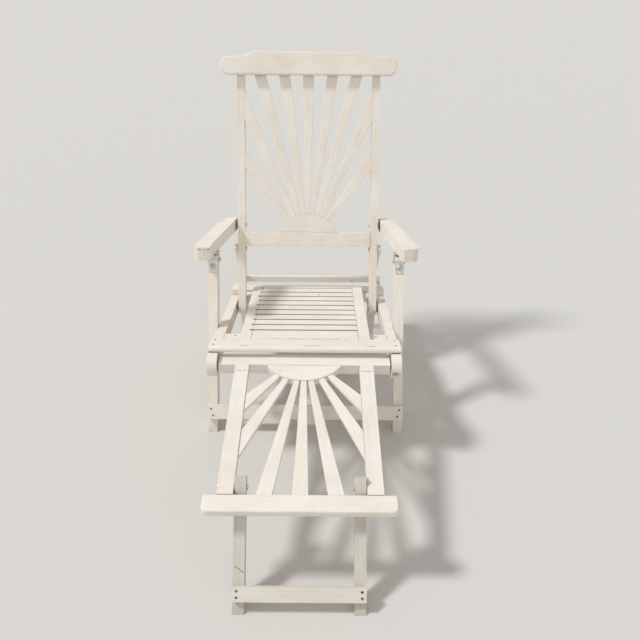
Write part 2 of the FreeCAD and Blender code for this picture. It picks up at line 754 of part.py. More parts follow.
# Two slats pass between the legs to the foot rail, and two on each side end on the stiles before them.
wing_out = -leg_spot[0] - size("foot_slat_leg_run")
inner_wing_out = (beam_front + wing_out) / 2
foot_angles = [0.0]
for across, out in (
    (foot_leg_inner - size("foot_slat_leg_gap"), -stile_end),
    (foot_inner, wing_out),
    (foot_inner, inner_wing_out),
):
    foot_angles.append(math.degrees(math.atan2(across, out - foot_sun_centre)))
order = [(angle, True) for angle in reversed(foot_angles[1:])]
order += [(angle, False) for angle in foot_angles]
for number, (angle, left) in enumerate(order, start=1):
    outline = ray(
        angle,
        size("foot_slat_narrow"),
        size("foot_slat_wide"),
        foot_sun_radius,
        foot_sun_centre,
        foot_inner,
        -stile_end,
    )
    outline = mirrored(outline, left, True)
    board("footrest_slat_%d" % number, "top", outline, "foot_slat_thick", foot_slat_place)

# Footrest legs, inside the stiles.
foot_leg_pivot = world(footrest_frame, *leg_spot)
foot_leg_frame = frame(foot_leg_pivot.y, foot_leg_pivot.z, size("foot_leg_lean"))
foot_leg_half = size("foot_leg_depth") / 2
foot_lean = math.radians(size("foot_leg_lean"))
foot_leg_length = foot_leg_pivot.z / math.cos(foot_lean)
foot_cut = foot_leg_half * math.tan(foot_lean)
foot_leg_top = size("foot_leg_top")
foot_bottom = -foot_leg_length - foot_cut
leg_round = size("foot_leg_round")
leg_flat = (foot_leg_half - leg_round, foot_leg_top)
leg_side = (foot_leg_half, foot_leg_top - leg_round)
foot_leg_outline = [
    line((-foot_leg_half, foot_bottom), (-foot_leg_half, foot_leg_top)),
    line((-foot_leg_half, foot_leg_top), leg_flat),
    rounded(leg_flat, (foot_leg_half, foot_leg_top), leg_side),
    line(leg_side, (foot_leg_half, -foot_leg_length + foot_cut)),
    line((foot_leg_half, -foot_leg_length + foot_cut), (-foot_leg_half, foot_bottom)),
    hole((0, 0), bore),
]
board("left_footrest_leg", "side", foot_leg_outline, "foot_leg_thick", at(foot_leg_frame, -foot_leg_outer))
board("right_footrest_leg", "side", foot_leg_outline, "foot_leg_thick", at(foot_leg_frame, foot_leg_inner))
foot_stretcher = closed(
    [
        (-foot_leg_outer, foot_bottom + size("foot_stretcher_low")),
        (foot_leg_outer, foot_bottom + size("foot_stretcher_low")),
        (foot_leg_outer, foot_bottom + size("foot_stretcher_high")),
        (-foot_leg_outer, foot_bottom + size("foot_stretcher_high")),
    ]
)
foot_stretcher_place = at(foot_leg_frame, 0, -foot_leg_half)
board("footrest_stretcher", "front", foot_stretcher, "foot_stretcher_thick", foot_stretcher_place)

# Metalwork.
gap_clear = size("edge_gap")
both = (-1, 1)


def bores(body, cuts):
    """Clearance holes cut through a finished board for the screws and bolts that enter it."""
    tool = doc.addObject("Part::Feature", body.Label + "_holes")
    tool.Shape = Part.makeCompound(cuts)
    label = body.Label
    body.Label = label + "_blank"
    drilled = doc.addObject("Part::Cut", label + "_drilled")
    drilled.Base = body
    drilled.Tool = tool
    drilled.Label = label
    pieces[pieces.index(body)] = drilled
    return drilled


frame_bolts = []
for side in both:
    frame_bolts.append(bolt(leg_pivot, rail_inner, half_width, side))
    frame_bolts.append(bolt(back_pivot, upright_inner, rail_outer, side))
    frame_bolts.append(bolt(rear_pivot, rear_leg_inner, rail_outer, side))
    frame_bolts.append(washer(back_pivot, upright_outer + gap_clear, rail_inner, side))

# The armrest's rear pivot is left open: the upright keeps a washer and a nut, the arm keeps the bolt.
arm_back_spot = at(arm_frame, 0, arm_back_along, arm_thick / 2).Base
upright_bolts = []
arm_bolts = []
for side in both:
    upright_bolts.append(bolt(prop_hinge, upright_inner, prop_outer, side))
    upright_bolts.append(washer(arm_back_spot, upright_outer, arm_inner_rear - size("open_gap"), side))
    turn = ALONG_MINUS_X if side > 0 else ALONG_X
    nut_place = Placement(Vector(side * upright_inner, arm_back_spot.y, arm_back_spot.z), turn)
    upright_bolts.append(rod(nut_place, size("nut_radius"), size("bolt_head_thick")))
fittings("upright_bolts", upright_bolts)
foot_bolts = [bolt(foot_leg_pivot, foot_leg_inner, stile_half, side) for side in both]
fittings("footrest_leg_bolts", foot_bolts)
pin_length = size("pin_length")
for side in both:
    turn = ALONG_X if side > 0 else ALONG_MINUS_X
    start = Placement(Vector(side * (rail_outer - pin_length), footrest_pivot.y, footrest_pivot.z), turn)
    pin = rod(start, size("bolt_radius"), pin_length)
    frame_bolts.append(pin)

# Fork bracket under each armrest, and the bolt through it and the leg.
bracket_gap = size("bracket_gap")
bracket_long = size("bracket_long")
plate_thick = size("plate_thick")
bracket_inner = leg_inner - bracket_gap - plate_thick
bracket_outer = half_width + bracket_gap + plate_thick
bracket_solids = []
for side in both:
    bracket = Part.makeBox(bracket_outer - bracket_inner, bracket_long, plate_thick)
    start = bracket_inner if side > 0 else -bracket_outer
    bracket.Placement = at(arm_frame, start, -bracket_long / 2, -plate_thick)
    for left in (start, start + bracket_outer - bracket_inner - plate_thick):
        ear = Part.makeBox(plate_thick, bracket_long / 2, size("arm_drop"))
        ear.Placement = at(arm_frame, left, -bracket_long / 4, -size("arm_drop"))
        tip_place = at(arm_frame, left, 0, -size("arm_drop"))
        tip = rod(Placement(tip_place.Base, ALONG_X), bracket_long / 4, plate_thick)
        bracket = bracket.fuse(ear).fuse(tip)
    bracket_solids.append(bracket.cut(cross_hole(arm_pivot)))
fittings("arm_brackets", bracket_solids)
arm_sink = size("arm_bolt_sink")
sunk_end = arm_inner_rear + size("arm_bolt_out") - arm_sink
for side in both:
    turn = ALONG_X if side > 0 else ALONG_MINUS_X
    start = Placement(Vector(side * sunk_end, arm_back_spot.y, arm_back_spot.z), turn)
    arm_bolts.append(bolt(arm_pivot, bracket_inner, bracket_outer, side))
    arm_bolts.append(rod(start, size("bolt_head_radius"), arm_sink + size("bolt_head_thick")))
fittings("arm_bolts", arm_bolts)

# Steel strap and coach bolt on the front face of each leg's head.
strap_low = leg_top - size("strap_low_drop")
strap_high = leg_top - size("strap_high_drop")
strap_width = size("leg_thick") - 2 * size("strap_inset")
strap_solids = []
coach_solids = []
leg_centre = half_width - size("leg_thick") / 2
coach_length = size("strap_bolt_length")
for side in both:
    strap = Part.makeBox(strap_width, plate_thick, strap_high - strap_low)
    strap.Placement = at(leg_frame, side * leg_centre - strap_width / 2, -plate_thick, strap_low)
    bolt_place = at(leg_frame, side * leg_centre, 0, leg_top - size("strap_bolt_drop"))
    shank_place = bolt_place.multiply(Placement(Vector(0, coach_length, 0), FORWARD))
    head_place = bolt_place.multiply(Placement(Vector(0, -plate_thick, 0), FORWARD))
    shank = rod(shank_place, size("screw_radius"), coach_length + plate_thick)
    head = rod(head_place, size("bolt_head_radius"), size("bolt_head_thick"))
    coach_solids.append(shank.fuse(head))
    strap_solids.append(strap.cut(shank))
fittings("leg_straps", strap_solids)


def screw_row(base, spots, turn):
    """Screws whose heads sit in the face that the base frame's spots lie on."""
    return [screw(at(base, *spot).multiply(Placement(Vector(), turn))) for spot in spots]


BACKWARD = Rotation(Vector(1, 0, 0), -90)
UP = Rotation()
thick = size("stretcher_thick")
stagger = size("screw_stagger")
low_screw = size("stretcher_low") + size("screw_inset")
high_screw = size("stretcher_high") - size("screw_inset")
front_spots = []
rear_spots = []
foot_spots = []
nosing_spots = []
rear_centre = (rear_leg_outer + rear_leg_inner) / 2
foot_centre = (foot_leg_outer + foot_leg_inner) / 2
foot_screw_front = -foot_leg_half - size("foot_stretcher_thick")
foot_low_screw = foot_bottom + size("foot_stretcher_low") + size("foot_screw_inset")
foot_high_screw = foot_bottom + size("foot_stretcher_high") - size("foot_screw_inset")
rail_centre = (rail_outer + rail_inner) / 2
nosing_screw = nosing_back - size("nosing_screw_inset")
front_screw = nosing_screw - size("nosing_screw_pitch")
for side in both:
    front_spots.append((side * (leg_centre - stagger), -thick, low_screw))
    front_spots.append((side * (leg_centre + stagger), -thick, high_screw))
    rear_spots.append((side * rear_centre, rear_half + thick, -rear_length + low_screw))
    rear_spots.append((side * rear_centre, rear_half + thick, -rear_length + high_screw))
    foot_spots.append((side * (foot_centre + stagger), foot_screw_front, foot_low_screw))
    foot_spots.append((side * (foot_centre + stagger), foot_screw_front, foot_high_screw))
    nosing_spots.append((side * rail_centre, nosing_screw, rail_top + nosing_thick))
    nosing_spots.append((side * rail_centre, front_screw, rail_top + nosing_thick))
front_screws = screw_row(leg_frame, front_spots, FORWARD)
rear_screws = screw_row(rear_frame, rear_spots, BACKWARD)
foot_screws = screw_row(foot_leg_frame, foot_spots, FORWARD)
nosing_screws = screw_row(rail_frame, nosing_spots, UP)
fittings("front_leg_screws", coach_solids + front_screws)
fittings("rear_stretcher_screws", rear_screws)
fittings("footrest_stretcher_screws", foot_screws)
fittings("frame_fasteners", frame_bolts + nosing_screws)
doc.recompute()

by_name = {piece.Label: piece for piece in pieces}


def drill(labels, cuts):
    for label in labels:
        by_name[label] = bores(by_name[label], cuts)


drill(("front_stretcher", "left_front_leg", "right_front_leg"), front_screws + coach_solids)
drill(("rear_stretcher", "left_rear_leg", "right_rear_leg"), rear_screws)
drill(("footrest_stretcher", "left_footrest_leg", "right_footrest_leg"), foot_screws)
drill(("front_seat_rail", "left_side_rail", "right_side_rail"), nosing_screws)
drill(("footrest_beam",), [cross_hole(footrest_pivot)])
drill(("left_armrest", "right_armrest"), arm_bolts)
drill(("left_prop_arm", "right_prop_arm"), [prop_bar.Shape])
doc.recompute()

# The finished chair stands on the ground, with the origin in the middle of its footprint.
box = FreeCAD.BoundBox()
for piece in pieces:
    box.add(piece.Shape.BoundBox)
shift = Vector(-box.Center.x, -box.Center.y, -box.ZMin)

os.makedirs("parts", exist_ok=True)
faults = [item.Label for item in doc.Objects if "Invalid" in item.State or "Error" in item.State]
faults += [piece.Label for piece in pieces if piece.Shape.isNull() or not piece.Shape.isValid()]
if faults:
    raise RuntimeError("faulty: " + ", ".join(faults))
for piece in pieces:
    moved = piece.Shape.copy()
    moved.translate(shift)
    moved.exportStep("parts/%s.step" % piece.Label)
    print(piece.Label, len(moved.Solids), round(moved.Volume))
pivots = {
    "leg": leg_pivot,
    "arm": arm_pivot,
    "back": back_pivot,
    "rear": rear_pivot,
    "prop": prop_hinge,
    "footrest": footrest_pivot,
    "footrest_leg": foot_leg_pivot,
}
for name, point in pivots.items():
    spot = point.add(shift)
    print("pivot", name, round(spot.y, 3), round(spot.z, 3))
print("shift", shift, "size", box.XLength, box.YLength, box.ZLength)
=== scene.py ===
import json
import math

import bmesh
import bpy
import numpy as np
from mathutils import Matrix, Vector


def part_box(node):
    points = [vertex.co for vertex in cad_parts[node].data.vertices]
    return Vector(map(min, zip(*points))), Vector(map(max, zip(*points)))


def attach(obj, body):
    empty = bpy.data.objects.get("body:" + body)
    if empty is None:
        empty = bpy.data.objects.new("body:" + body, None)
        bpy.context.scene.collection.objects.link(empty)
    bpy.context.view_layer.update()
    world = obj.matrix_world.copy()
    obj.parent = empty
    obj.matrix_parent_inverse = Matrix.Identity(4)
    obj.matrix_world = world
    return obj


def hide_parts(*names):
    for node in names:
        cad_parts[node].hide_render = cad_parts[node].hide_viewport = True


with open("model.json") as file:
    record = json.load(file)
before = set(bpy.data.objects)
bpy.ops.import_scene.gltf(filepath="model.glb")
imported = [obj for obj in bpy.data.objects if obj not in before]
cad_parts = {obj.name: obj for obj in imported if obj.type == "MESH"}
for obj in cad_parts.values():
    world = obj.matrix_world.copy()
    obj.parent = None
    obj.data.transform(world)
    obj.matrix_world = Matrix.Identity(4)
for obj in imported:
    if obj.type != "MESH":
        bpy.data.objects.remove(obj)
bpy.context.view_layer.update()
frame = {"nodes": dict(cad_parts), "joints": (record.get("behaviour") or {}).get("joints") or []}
nodes = frame["nodes"]
pivots = {joint["name"]: Vector(joint["pos_m"]) for joint in frame["joints"]}
scene = bpy.context.scene

# Side rails: two sawn softwood boards on edge, with a half-round nose in front, drilled for the pivots.
# Like every board they have several coats of cream oil paint, put on with a brush along the grain. One nose
# has a rust bleed under it, and a check runs from the leg pivot of the same rail.
RAIL_EDGE_MM = 2.0
NOSE_RUST = Vector((0.2445, -0.031, -0.008))
NOSE_RUST_REACH = (0.017, 0.016, 0.011)
PIVOT_CHECK = Vector((0.2517, -0.001, 0.023))
PIVOT_CHECK_REACH = (0.013, 0.0012, 0.005)
PAINT_CREAM = "EEE8DF"
PAINT_CHALKED = "D9D4CA"
PAINT_WARM = "E9DFD2"
WORN_GREY = "C0BAB0"
DIRT_AND_CORNER_SHADE = "8F8578"
BARE_WOOD_AND_PAINTED_SHADE = "6B5D4E"
GREEN_FOOT_STAIN = "8C8768"
RUST_BLEED = "9A6238"
OIL_PAINT_IOR = 1.48
# A pattern along the grain has a length and a width. Real brush marks stand 0.3 mm apart, checks are 0.4 mm
# wide and pores far finer: they are drawn coarser here, so that they show.
RINGS_MM = (95, 2.1)
FINE_GRAIN_MM = (40, 0.9)
BRISTLES_MM = (60, 0.5)
OPEN_CHECKS_MM = (180, 1.3)
WORN_STREAKS_MM = (140, 5)
PATCHES_MM = 110
PORES_MM = 3.8
FLECKS_MM = 2.4
TORN_EDGE_MM = 6
TEAR_MM = 4
CORNER_REACH_MM = 18
# The damp stain's edge: heights in metres, and how far the patches move them.
DAMP_FROM = 0.064
DAMP_FULL = 0.025
DAMP_RAGGED = 0.05
RELIEF_MM = 0.7
EASED = {"interpolation_type": "SMOOTHSTEP"}
OVER = {"data_type": "RGBA", "clamp_factor": True}


def hex_colour(code):
    """The linear colour of an sRGB hex code."""
    channels = [int(code[i : i + 2], 16) / 255 for i in (0, 2, 4)]
    return [c / 12.92 if c <= 0.04045 else ((c + 0.055) / 1.055) ** 2.4 for c in channels] + [1.0]


def add(tree, kind, settings=None, give=0, **inputs):
    """Adds a shader node and returns one of its outputs, by number or name.

    settings are the node's own properties. inputs are values or links for its sockets, by name, or by
    number after an underscore.
    """
    made = tree.nodes.new(kind)
    for name, value in (settings or {}).items():
        setattr(made, name, value)
    for name, value in inputs.items():
        key = int(name[1:]) if name[0] == "_" else name.replace("_", " ")
        if isinstance(value, bpy.types.NodeSocket):
            tree.links.new(value, made.inputs[key])
        else:
            made.inputs[key].default_value = value
    return made.outputs[give] if made.outputs else None


def turned_to_grain(tree, way):
    """A place or a direction of the chair, turned so that its x runs along the board's grain."""
    by_board = {"attribute_type": "OBJECT", "attribute_name": "grain_turn"}
    turn = add(tree, "ShaderNodeAttribute", by_board, "Vector")
    return add(tree, "ShaderNodeVectorRotate", {"rotation_type": "EULER_XYZ"}, Vector=way, Rotation=turn)


def grain_noise(tree, where, fleck_mm, detail, seed=0.0):
    """Noise drawn out along the grain. fleck_mm is the length and the width of one fleck of it."""
    length, width = fleck_mm
    stretch = (1000 / length, 1000 / width, 1000 / width)
    spot = add(tree, "ShaderNodeMapping", Vector=where, Location=(seed, seed, seed), Scale=stretch)
    return add(tree, "ShaderNodeTexNoise", Vector=spot, Scale=1.0, Detail=detail, Roughness=0.6)


def open_checks(tree, where, patches):
    """Checks that have opened along the grain, in the few places where the timber has moved."""
    split = grain_noise(tree, where, OPEN_CHECKS_MM, 2, seed=21.0)
    split = add(tree, "ShaderNodeMapRange", EASED, Value=split, From_Min=0.69, From_Max=0.73, To_Max=0.6)
    moved = add(tree, "ShaderNodeMapRange", EASED, Value=patches, From_Min=0.52, From_Max=0.60)
    return add(tree, "ShaderNodeMath", {"operation": "MULTIPLY"}, _0=split, _1=moved)


def open_pores(tree, where):
    """The pores of the end grain, which shows on the faces that cross the grain."""
    facing = turned_to_grain(tree, add(tree, "ShaderNodeTexCoord", give="Normal"))
    end_on = add(tree, "ShaderNodeSeparateXYZ", Vector=facing)
    end_on = add(tree, "ShaderNodeMath", {"operation": "ABSOLUTE"}, _0=end_on)
    end_on = add(tree, "ShaderNodeMapRange", EASED, Value=end_on, From_Min=0.75, From_Max=0.95)
    pores = add(tree, "ShaderNodeTexNoise", Vector=where, Scale=1000 / PORES_MM, Detail=3.0, Roughness=0.5)
    pores = add(tree, "ShaderNodeMapRange", EASED, Value=pores, From_Min=0.50, From_Max=0.72, To_Max=0.30)
    return add(tree, "ShaderNodeMath", {"operation": "MULTIPLY"}, _0=end_on, _1=pores)


def shaded_slat_sides(tree, slat_run):
    """Painted shade on the faces that look from slat to slat, so that the gaps read dark."""
    facing = add(tree, "ShaderNodeTexCoord", give="Normal")
    side = add(tree, "ShaderNodeVectorMath", {"operation": "DOT_PRODUCT"}, "Value", _0=facing, _1=slat_run)
    side = add(tree, "ShaderNodeMath", {"operation": "ABSOLUTE"}, _0=side)
    return add(tree, "ShaderNodeMapRange", EASED, Value=side, From_Min=0.45, From_Max=0.80, To_Max=0.9)


def torn_place(tree, real):
    """The real place moved about a little, so that a mark drawn on it has torn edges."""
    tear = add(tree, "ShaderNodeTexNoise", give="Color", Vector=real, Scale=1000 / TORN_EDGE_MM, Detail=2.0)
    tear = add(tree, "ShaderNodeVectorMath", {"operation": "SUBTRACT"}, _0=tear, _1=(0.5, 0.5, 0.5))
    tear = add(tree, "ShaderNodeVectorMath", {"operation": "SCALE"}, _0=tear, Scale=TEAR_MM / 1000)
    return add(tree, "ShaderNodeVectorMath", {"operation": "ADD"}, _0=real, _1=tear)


def mark(tree, where, centre, reach, soft=0.35, strength=1.0):
    """A mark that fills an ellipsoid about a real point in metres. reach is its half sizes."""
    offset = add(tree, "ShaderNodeVectorMath", {"operation": "SUBTRACT"}, _0=where, _1=centre)
    shrink = [1 / size for size in reach]
    scaled = add(tree, "ShaderNodeVectorMath", {"operation": "MULTIPLY"}, _0=offset, _1=shrink)
    out = add(tree, "ShaderNodeVectorMath", {"operation": "LENGTH"}, "Value", _0=scaled)
    edge = {"From_Min": 1.0, "From_Max": 1.0 - soft, "To_Max": strength}
    return add(tree, "ShaderNodeMapRange", EASED, Value=out, **edge)


def shaded_dirty_corners(tree, where, share):
    """Painted shade in the corners where boards meet, made uneven by flecks of dirt."""
    reach = CORNER_REACH_MM / 1000
    corner = add(tree, "ShaderNodeAmbientOcclusion", {"samples": 8}, "AO", Distance=reach)
    corner = add(tree, "ShaderNodeMapRange", EASED, Value=corner, From_Min=0.66, From_Max=0.22)
    size = 1000 / FLECKS_MM
    flecks = add(tree, "ShaderNodeTexNoise", Vector=where, Scale=size, Detail=2.0, Roughness=0.5)
    left = {"From_Min": 0.30, "From_Max": 0.62, "To_Min": 0.45 * share, "To_Max": 0.85 * share}
    flecks = add(tree, "ShaderNodeMapRange", EASED, Value=flecks, **left)
    return add(tree, "ShaderNodeMath", {"operation": "MULTIPLY"}, _0=corner, _1=flecks)


def damp_feet(tree, real, patches):
    """The stain that damp has left on about the lowest 40 mm of the feet."""
    height = add(tree, "ShaderNodeSeparateXYZ", give="Z", Vector=real)
    uneven = {"_0": patches, "_1": DAMP_RAGGED, "_2": height}
    height = add(tree, "ShaderNodeMath", {"operation": "MULTIPLY_ADD"}, **uneven)
    edge = {"From_Min": DAMP_FROM, "From_Max": DAMP_FULL, "To_Max": 0.28}
    return add(tree, "ShaderNodeMapRange", EASED, Value=height, **edge)


# Brushed oil paint on softwood: old cream paint, chalky and nearly matt to the eye, with fine raised lines
# where the growth rings show, dirt between them, and bare dark wood in its checks and chips. Corners where
# boards meet, seams and the sides of slats are darkened with painted shade.
def brushed_oil_paint(name, dark_marks=(), stains=(), slat_run=None, corner_shade_and_dirt=1.0, greyed=0.0):
    """The paint of some boards, which say by their own properties how their grain runs.

    checks are splits, chips and dark lines of painted shade along seams, and stains are rust bleeds, both
    as (centre, half sizes) in metres. slat_run is the way from slat to slat; the sides of the slats that
    face along it are painted dark as shade. corner_shade_and_dirt is the share of painted shade and dirt
    where boards meet, and greyed the share of paint worn so thin that grey wood shows.
    """
    paint = bpy.data.materials.new(name)
    paint.use_nodes = True
    tree = paint.node_tree
    tree.nodes.clear()
    real = add(tree, "ShaderNodeTexCoord", give="Object")
    torn = torn_place(tree, real)
    by_board = {"attribute_type": "OBJECT", "attribute_name": "grain_shift"}
    shift = add(tree, "ShaderNodeAttribute", by_board, "Vector")
    along = turned_to_grain(tree, real)
    where = add(tree, "ShaderNodeVectorMath", {"operation": "ADD"}, _0=along, _1=shift)
    rings = grain_noise(tree, where, RINGS_MM, 3)
    fine = grain_noise(tree, where, FINE_GRAIN_MM, 2, seed=3.7)
    bristles = grain_noise(tree, where, BRISTLES_MM, 1, seed=9.1)
    streaks = grain_noise(tree, where, WORN_STREAKS_MM, 2, seed=31.0)
    size = 1000 / PATCHES_MM
    patches = add(tree, "ShaderNodeTexNoise", Vector=where, Scale=size, Detail=3.0, Roughness=0.55)

    # The paint's tones: warm patches, chalk on the growth rings, dirt between them and worn streaks.
    warm = add(tree, "ShaderNodeMapRange", EASED, Value=patches, From_Min=0.35, From_Max=0.68)
    chalk = add(tree, "ShaderNodeMapRange", EASED, Value=rings, From_Min=0.50, From_Max=0.70, To_Max=0.60)
    hollow = add(tree, "ShaderNodeMapRange", EASED, Value=fine, From_Min=0.56, From_Max=0.72, To_Max=0.20)
    thin = {"From_Min": 0.35, "From_Max": 0.62, "To_Min": 0.75 * greyed, "To_Max": greyed}
    worn = add(tree, "ShaderNodeMapRange", EASED, Value=streaks, **thin)
    layers = [(warm, PAINT_WARM), (chalk, PAINT_CHALKED), (hollow, DIRT_AND_CORNER_SHADE), (worn, WORN_GREY)]

    # Bare wood shows in the cracks of the grain and in this board's own checks and chips. The same dark
    # colour is painted as shade along seams and on the sides of slats.
    bare_wood_and_shade = open_checks(tree, where, patches)
    others = [open_pores(tree, where)] + [mark(tree, torn, *dark_mark) for dark_mark in dark_marks]
    if slat_run:
        others.append(shaded_slat_sides(tree, slat_run))
    for other in others:
        bare_wood_and_shade = add(tree, "ShaderNodeMath", {"operation": "MAXIMUM"}, _0=bare_wood_and_shade, _1=other)
    layers.append((bare_wood_and_shade, BARE_WOOD_AND_PAINTED_SHADE))
    for stain in stains:
        layers.append((mark(tree, torn, *stain, soft=0.9, strength=0.75), RUST_BLEED))
    # Painted shade darkens the corners where boards meet, made uneven by flecks of dirt.
    layers.append((shaded_dirty_corners(tree, where, corner_shade_and_dirt), DIRT_AND_CORNER_SHADE))
    layers.append((damp_feet(tree, real, patches), GREEN_FOOT_STAIN))
    colour = hex_colour(PAINT_CREAM)
    for share, tone in layers:
        colour = add(tree, "ShaderNodeMix", OVER, 2, _0=share, _6=colour, _7=hex_colour(tone))

    relief = 0.0
    for form, share in ((rings, 0.55), (fine, 0.25), (bristles, 0.20), (bare_wood_and_shade, -0.90)):
        relief = add(tree, "ShaderNodeMath", {"operation": "MULTIPLY_ADD"}, _0=form, _1=share, _2=relief)
    bumped = add(tree, "ShaderNodeBump", Height=relief, Strength=0.6, Distance=RELIEF_MM / 1000)
    matt = {"From_Min": 0.3, "From_Max": 0.7, "To_Min": 0.46, "To_Max": 0.62}
    rough = add(tree, "ShaderNodeMapRange", EASED, Value=patches, **matt)
    shader = add(
        tree,
        "ShaderNodeBsdfPrincipled",
        Base_Color=colour,
        Roughness=rough,
        IOR=OIL_PAINT_IOR,
        Specular_IOR_Level=0.35,
        Normal=bumped,
    )
    add(tree, "ShaderNodeOutputMaterial", Surface=shader)
    return paint


def long_way(points):
    """The direction in which a set of points reaches farthest."""
    points = np.array(points)
    return Vector(np.linalg.eigh(np.cov((points - points.mean(0)).T))[1][:, -1])


def dress_board(name, material, edge_mm):
    """Gives a board or a strip of the frame its finish and eased edges, and says how its grain runs."""
    shape = nodes[name]
    grain = long_way([corner.co for corner in shape.data.vertices])
    if max(grain, key=abs) < 0:
        grain.negate()
    shape["grain_turn"] = list(grain.rotation_difference(Vector((1, 0, 0))).to_euler("XYZ"))
    number = sorted(nodes).index(name)
    shape["grain_shift"] = [0.37 * number, 0.13 * number, 0.071 * number]
    shape.data.materials.clear()
    shape.data.materials.append(material)
    weld = shape.modifiers.new("weld", "WELD")
    weld.merge_threshold = 1e-6
    flat = shape.modifiers.new("flat_faces", "DECIMATE")
    flat.decimate_type = "DISSOLVE"
    flat.angle_limit = math.radians(0.4)
    ease = shape.modifiers.new("eased_edges", "BEVEL")
    ease.width = edge_mm / 1000
    ease.segments = 3
    ease.angle_limit = math.radians(40)
    normals = shape.modifiers.new("shading", "WEIGHTED_NORMAL")
    normals.keep_sharp = True


nose_rust = (pivots["footrest_fold"] + NOSE_RUST, NOSE_RUST_REACH)
pivot_check = (pivots["front_legs_fold"] + PIVOT_CHECK, PIVOT_CHECK_REACH)
rail_paint = brushed_oil_paint("cream_oil_paint_on_rails", dark_marks=[pivot_check], stains=[nose_rust])
for name in ("left_side_rail", "right_side_rail"):
    dress_board(name, rail_paint, RAIL_EDGE_MM)

# Front seat rail: a softwood nosing board over both rails, its front edge planed round, with two screws at
# each end. The weather has opened three short checks along the round.
NOSING_EDGE_MM = 1.2
NOSING_CHECKS = ((-0.163, 0.017), (0.022, 0.030), (0.181, 0.019))
NOSING_CHECK_BACK = 0.013
NOSING_CHECK_DOWN = 0.0015
NOSING_CHECK_WIDE = 0.0019
NOSING_CHECK_DEEP = 0.006
low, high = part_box("front_seat_rail")
nosing_checks = []
for across, half_long in NOSING_CHECKS:
    place = Vector((across, low.y + NOSING_CHECK_BACK, high.z - NOSING_CHECK_DOWN))
    nosing_checks.append((place, (half_long, NOSING_CHECK_WIDE, NOSING_CHECK_DEEP)))
nosing_paint = brushed_oil_paint("cream_oil_paint_on_nosing", dark_marks=nosing_checks)
dress_board("front_seat_rail", nosing_paint, NOSING_EDGE_MM)

# Battens and bearers: plain sawn softwood boards that reach from rail to rail, under and behind the seat.
# The front bearer shows beside the seat panel, where one screw holds it at each side.
SAWN_EDGE_MM = 1.5
plain_paint = brushed_oil_paint("cream_oil_paint")
for name in ("rear_batten", "front_bearer", "rear_bearer"):
    dress_board(name, plain_paint, SAWN_EDGE_MM)

# Seat panel: a mortised softwood frame with nine thin slats let into its sides, a 5 mm gap between each
# two. At the left end of each gap the paint has broken away, and the dark mortise shows in the stile. A
# dark line along the joint between the panel and the nosing is painted shade.
SLAT_EDGE_MM = 2.6
SEAT_FRONT_EDGE_MM = 3.5
CHIP_REACH = (0.0070, 0.0056, 0.0070)
CHIP_PAST_SLAT = 0.0025
CHIP_SHIFT = 0.001
CHIP_GROWTH = 0.25
BEFORE_FIRST_SLAT = 0.002
PAST_LAST_SLAT = 0.0005
BELOW_LAST_SLAT = 0.005
SEAT_SEAM_SHADE_BACK = 0.0027
SEAT_SEAM_SHADE_REACH = (0.18, 0.0026, 0.005)
# A small dark mark on the top of one slat.
SLAT_MARK = (Vector((0.0383, 0.3684, 0.2790)), (0.006, 0.004, 0.004))


def loose_solids(name):
    """The corner points of each separate solid of a frame node, as arrays in metres."""
    shape = bmesh.new()
    shape.from_mesh(nodes[name].data)
    bmesh.ops.remove_doubles(shape, verts=shape.verts, dist=1e-6)
    left = dict.fromkeys(shape.verts)
    solids = []
    while left:
        reached = [next(iter(left))]
        del left[reached[0]]
        for corner in reached:
            for edge in corner.link_edges:
                other = edge.other_vert(corner)
                if other in left:
                    del left[other]
                    reached.append(other)
        solids.append(np.array([corner.co[:] for corner in reached]))
    shape.free()
    return sorted(solids, key=lambda points: tuple(points.mean(0).round(4)))


slats = sorted(loose_solids("seat_slats"), key=lambda points: points[:, 1].mean())
starts, ends = (np.array([edge(points[:, 1]) for points in slats]) for edge in (np.min, np.max))
tops = np.array([points[:, 2].max() for points in slats])
outer_places = [starts[0] - BEFORE_FIRST_SLAT, ends[-1] + PAST_LAST_SLAT]
gap_places = np.append((starts[1:] + ends[:-1]) / 2, outer_places)
gap_tops = np.append(tops[1:], [tops[0], tops[-1] - BELOW_LAST_SLAT])
slat_end = slats[0][:, 0].min()
seat_fall = (tops[-1] - tops[0]) / (starts[-1] - starts[0])

# No two chips have quite the same size and place.
chips = []
for number, (along, height) in enumerate(zip(gap_places, gap_tops)):
    size = 1.0 + CHIP_GROWTH * math.sin(2.4 * number)
    out = slat_end - CHIP_PAST_SLAT - CHIP_SHIFT * math.cos(3.1 * number)
    chips.append((Vector((out, along, height)), [size * reach for reach in CHIP_REACH]))
dress_board("seat_left_stile", brushed_oil_paint("chipped_cream_oil_paint", dark_marks=chips), SAWN_EDGE_MM)
for name in ("seat_back_rail", "seat_right_stile"):
    dress_board(name, plain_paint, SAWN_EDGE_MM)
low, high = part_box("seat_front_rail")
# A dark line along the seam in front of the seat panel is painted shade.
seat_seam_shade = (Vector((0, low.y + SEAT_SEAM_SHADE_BACK, high.z)), SEAT_SEAM_SHADE_REACH)
seam_shaded_paint = brushed_oil_paint("cream_oil_paint_on_seat_front", dark_marks=[seat_seam_shade])
dress_board("seat_front_rail", seam_shaded_paint, SEAT_FRONT_EDGE_MM)
slat_run = Vector((0, 1, seat_fall)).normalized()
# The sides of the slats that face the gaps are painted dark, as shade.
slat_paint = brushed_oil_paint("cream_oil_paint_on_seat_slats", dark_marks=[SLAT_MARK], slat_run=slat_run)
dress_board("seat_slats", slat_paint, SLAT_EDGE_MM)

